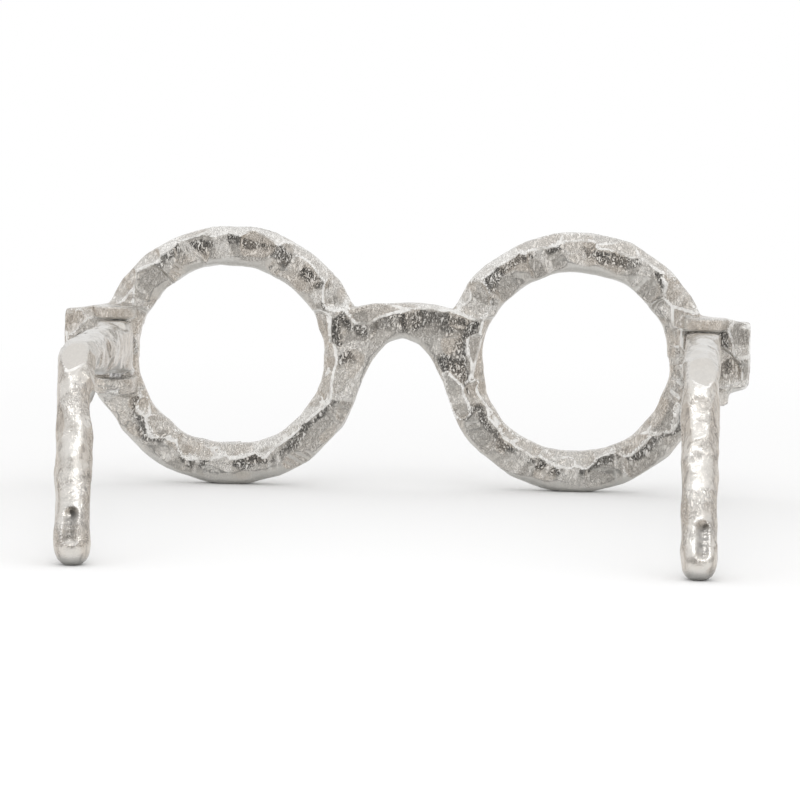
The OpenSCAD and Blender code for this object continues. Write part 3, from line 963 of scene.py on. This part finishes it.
class SCULPTURE_OT_frame_casting(bpy.types.Operator):
    """Makes the front casting: both rings, the bridge, the lugs and the hinge ears"""

    bl_idname = "sculpture.frame_casting"
    bl_label = "Front casting"

    def execute(self, context):
        piece = gridded_copy("front_frame", "front_casting")
        points, _ = points_and_normals(piece)
        pins = [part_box("left_hinge_pin"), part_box("right_hinge_pin")]
        low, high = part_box("front_frame")
        weights = frame_weights(points, (low.x, high.x), pins)
        finish_casting(piece, weights, FRAME_SEED, bar_marks)
        metal = CastMetal("Cast frame metal", coarseness=1.0, streaks=0.12)
        piece.data.materials.append(metal.material)
        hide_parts("front_frame")
        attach(piece, "frame")
        return {"FINISHED"}


class SCULPTURE_OT_arm_castings(bpy.types.Operator):
    """Makes the two arms that hang on the hinge pins"""

    bl_idname = "sculpture.arm_castings"
    bl_label = "Arm castings"

    def execute(self, context):
        metal = CastMetal("Cast arm metal", coarseness=0.0, streaks=0.5)
        for node_name, seed in ARM_SEEDS:
            piece = gridded_copy(node_name, node_name + "_casting")
            points, _ = points_and_normals(piece)
            pin_low, pin_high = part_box(node_name.replace("arm", "hinge_pin"))
            finish_casting(piece, arm_weights(points, pin_low, pin_high), seed, arm_marks)
            piece.data.materials.append(metal.material)
            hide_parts(node_name)
            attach(piece, node_name)
        return {"FINISHED"}


class SCULPTURE_OT_hinge_pins(bpy.types.Operator):
    """Makes the two hinge pins, plain rods with flush ends"""

    bl_idname = "sculpture.hinge_pins"
    bl_label = "Hinge pins"

    def execute(self, context):
        metal = pin_metal()
        for node_name in ("left_hinge_pin", "right_hinge_pin"):
            low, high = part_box(node_name)
            radius = (high.x - low.x) / 2
            bpy.ops.object.select_all(action="DESELECT")
            bpy.ops.mesh.primitive_cylinder_add(
                vertices=48, radius=radius, depth=high.z - low.z, location=(low + high) / 2,
            )
            piece = context.active_object
            piece.name = piece.data.name = node_name + "_rod"
            bpy.ops.object.transform_apply(location=True, rotation=True, scale=True)
            piece.data.materials.append(metal)
            bpy.ops.object.shade_smooth_by_angle(angle=math.radians(40))
            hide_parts(node_name)
            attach(piece, "frame")
        return {"FINISHED"}


def floor_material(colour):
    """Plain pale floor. Far from the object it runs into the white background."""
    material, graph, shader = new_material("Pale floor")
    place = graph.place()
    paler = tuple(min(1.0, c * 1.01) for c in colour)
    graph.feed(shader.inputs["Roughness"], 0.9)
    graph.feed(shader.inputs["Specular IOR Level"], 0.0)
    graph.feed(shader.inputs["Base Color"], graph.mix(graph.noise(place, 3.0), colour, paler))
    away = graph.node("ShaderNodeVectorMath", {0: place}, operation="LENGTH").outputs["Value"]
    _, seen = graph.rays()
    share = graph.times(graph.span(away, 0.25, 1.1), seen)
    white = graph.node("ShaderNodeEmission", {"Strength": 1.0})
    mixed = graph.node(
        "ShaderNodeMixShader", {0: share, 1: shader.outputs[0], 2: white.outputs[0]},
    )
    graph.feed(material.node_tree.nodes["Material Output"].inputs["Surface"], mixed.outputs[0])
    return material


def studio_world(strength):
    """Even light from all round, and a white background. The metal mirrors a pale room that is
    dark behind the camera, but for one soft bright strip to the right."""
    world = bpy.data.worlds.new("Studio")
    bpy.context.scene.world = world
    world.use_nodes = True
    world.node_tree.nodes.clear()
    graph = Graph(world.node_tree)
    aim = graph.node("ShaderNodeTexCoord").outputs["Generated"]
    parts = graph.node("ShaderNodeSeparateXYZ", {0: aim}).outputs
    right, ahead, up = parts["X"], parts["Y"], parts["Z"]
    low = graph.span(up, 0.0, 0.22, 0.8, 0.6)
    room = graph.mix(graph.span(up, 0.28, 0.6), low, ROOM_ABOVE)
    room = graph.mix(graph.span(ahead, 0.0, 0.6), room, ROOM_AHEAD)
    room = graph.mix(graph.span(ahead, -0.6, -0.92), room, ROOM_BEHIND)
    strip = graph.times(graph.span(right, 0.06, 0.18), graph.span(right, 0.5, 0.36))
    strip = graph.times(strip, graph.span(ahead, -0.4, -0.7))
    room = graph.mix(strip, room, ROOM_STRIP)
    straight, seen = graph.rays()
    backdrop = graph.mix(straight, room, WHITE)
    light = graph.node("ShaderNodeBackground", {"Color": WHITE, "Strength": strength})
    shown = graph.node("ShaderNodeBackground", {"Color": backdrop, "Strength": 1.0})
    mixed = graph.node(
        "ShaderNodeMixShader", {0: seen, 1: light.outputs[0], 2: shown.outputs[0]},
    )
    graph.node("ShaderNodeOutputWorld", {0: mixed.outputs[0]})


class SCULPTURE_OT_stage(bpy.types.Operator):
    """Makes the floor, the light and the camera"""

    bl_idname = "sculpture.stage"
    bl_label = "Stage"

    def execute(self, context):
        scene = context.scene
        settings = scene.stage_settings
        bpy.ops.object.select_all(action="DESELECT")
        bpy.ops.mesh.primitive_plane_add(size=settings.floor_size, location=(0, 0, -FLOOR_DROP))
        floor = context.active_object
        floor.name = floor.data.name = "floor"
        bpy.ops.object.transform_apply(location=True, rotation=True, scale=True)
        floor.data.materials.append(floor_material(tuple(settings.floor_colour)))
        studio_world(settings.sky_strength)
        bpy.ops.object.light_add(
            type="AREA", location=settings.key_place, rotation=(-settings.key_turn, 0, 0),
        )
        key = context.active_object
        key.name = key.data.name = "key light"
        key.data.energy = settings.key_strength
        key.data.size = settings.key_size
        self.add_camera(scene, settings)
        scene.view_settings.view_transform = "Standard"
        return {"FINISHED"}

    def add_camera(self, scene, settings):
        """The camera looks along the forward direction, turned by the roll about it."""
        pan, tilt, roll = settings.camera_pan, settings.camera_tilt, settings.camera_roll
        level = math.cos(tilt)
        ahead = Vector((math.sin(pan) * level, math.cos(pan) * level, -math.sin(tilt)))
        right = Vector((math.cos(pan), -math.sin(pan), 0))
        up = right.cross(ahead)
        rolled_right = right * math.cos(roll) + up * math.sin(roll)
        rolled_up = up * math.cos(roll) - right * math.sin(roll)
        camera = bpy.data.objects.new("camera", bpy.data.cameras.new("camera"))
        scene.collection.objects.link(camera)
        camera.data.sensor_width = 36
        camera.data.lens = settings.lens
        turn = Matrix((rolled_right, rolled_up, -ahead)).transposed().to_4x4()
        camera.matrix_world = Matrix.Translation(settings.camera_place) @ turn
        scene.camera = camera


class SCULPTURE_PT_panel(bpy.types.Panel):
    """Lists the pieces and their settings"""

    bl_label = "Eyeglasses sculpture"
    bl_idname = "SCULPTURE_PT_panel"
    bl_space_type = "VIEW_3D"
    bl_region_type = "UI"
    bl_category = "Sculpture"

    def draw(self, context):
        layout = self.layout
        for operator in OPERATORS:
            layout.operator(operator.bl_idname)
        for name in SETTINGS:
            group = getattr(context.scene, name)
            box = layout.box()
            for key in group.__annotations__:
                box.prop(group, key)


OPERATORS = (
    SCULPTURE_OT_stage,
    SCULPTURE_OT_frame_casting,
    SCULPTURE_OT_arm_castings,
    SCULPTURE_OT_hinge_pins,
)
SETTINGS = {
    "casting_settings": CastingSettings,
    "finish_settings": FinishSettings,
    "stage_settings": StageSettings,
}


def register():
    """Adds the settings, the operators and the panel."""
    for cls in (*SETTINGS.values(), *OPERATORS, SCULPTURE_PT_panel):
        bpy.utils.register_class(cls)
    for name, cls in SETTINGS.items():
        setattr(bpy.types.Scene, name, PointerProperty(type=cls))


def unregister():
    """Takes them away again."""
    for name in SETTINGS:
        delattr(bpy.types.Scene, name)
    for cls in reversed((*SETTINGS.values(), *OPERATORS, SCULPTURE_PT_panel)):
        bpy.utils.unregister_class(cls)


def main():
    """Makes everything in order."""
    register()
    bpy.ops.sculpture.stage()
    bpy.ops.sculpture.frame_casting()
    bpy.ops.sculpture.arm_castings()
    bpy.ops.sculpture.hinge_pins()


if __name__ == "__main__":
    main()
